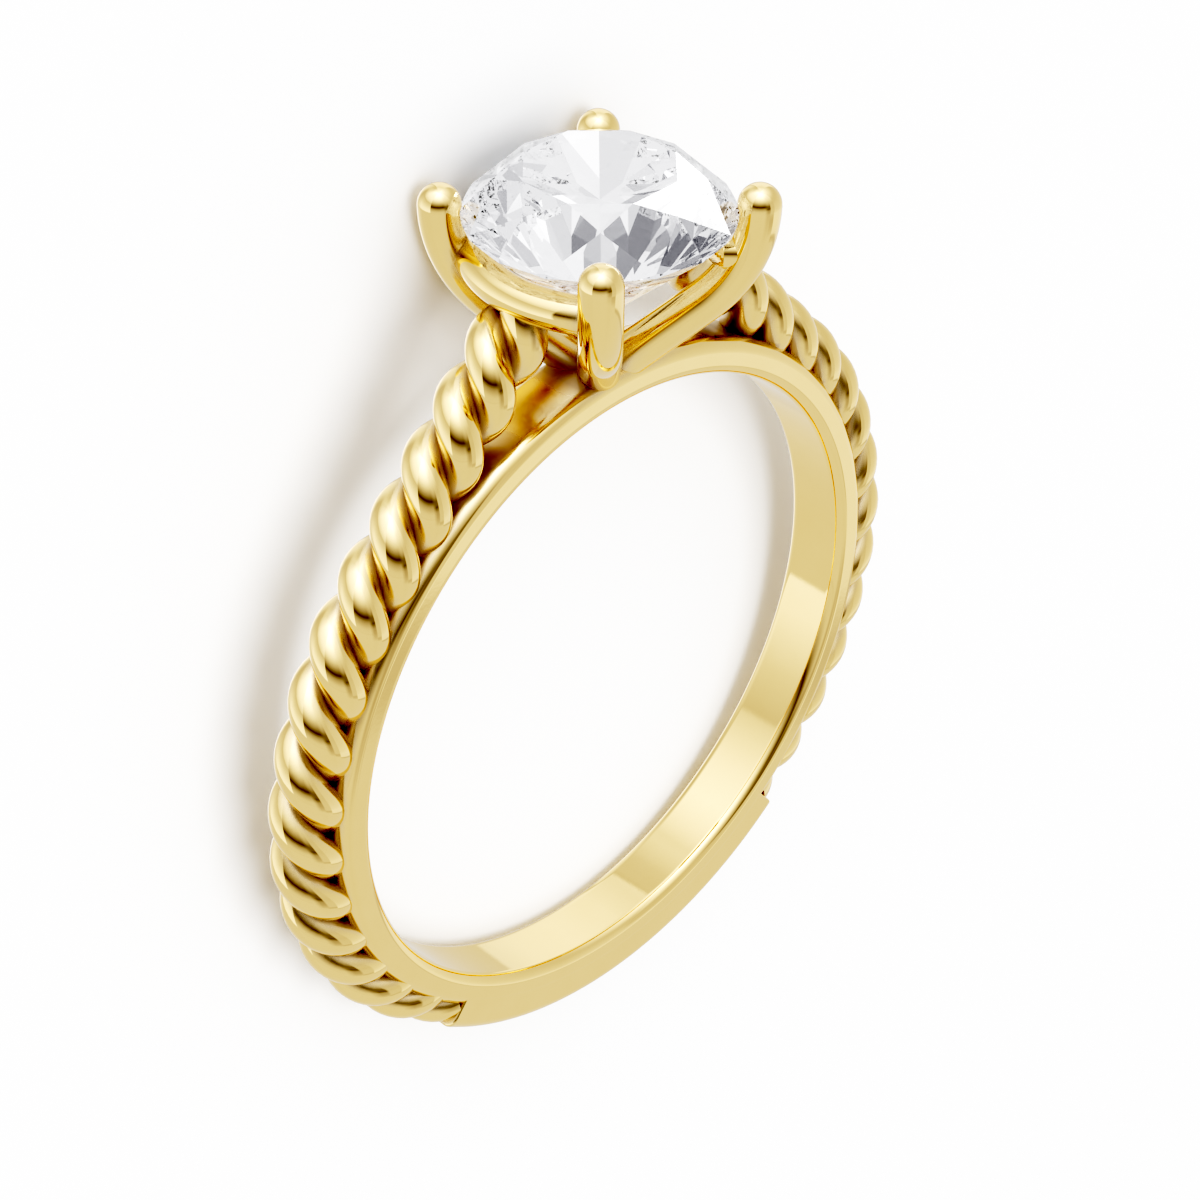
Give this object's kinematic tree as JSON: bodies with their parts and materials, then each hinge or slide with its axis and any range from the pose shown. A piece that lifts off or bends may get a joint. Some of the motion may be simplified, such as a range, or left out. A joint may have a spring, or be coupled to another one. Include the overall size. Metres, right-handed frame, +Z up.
{
  "type": "solitaire ring with a twisted rope shank",
  "caption": "Finger ring with a round faceted stone in corner prongs, a shank of twisted strands on a thin band, and a plain section at the bottom.",
  "frame": {"origin": "on the surface that the ring lies on, under the middle of its outline", "axes": "+Z up, +Y from the bottom of the ring towards the stone, X across the ring; the ring lies on its side on the back edge of its plain section and on the stone's girdle, so the finger hole's axis leans 5.5 degrees from +Z towards -Y"},
  "size_m": [0.0216, 0.0252, 0.0064],
  "materials": {
    "gold": "high polish yellow gold",
    "stone": "clear, cut and polished facets"
  },
  "bodies": {
    "root": {"ring_body": "gold", "stone": "stone"}
  },
  "joints": []
}
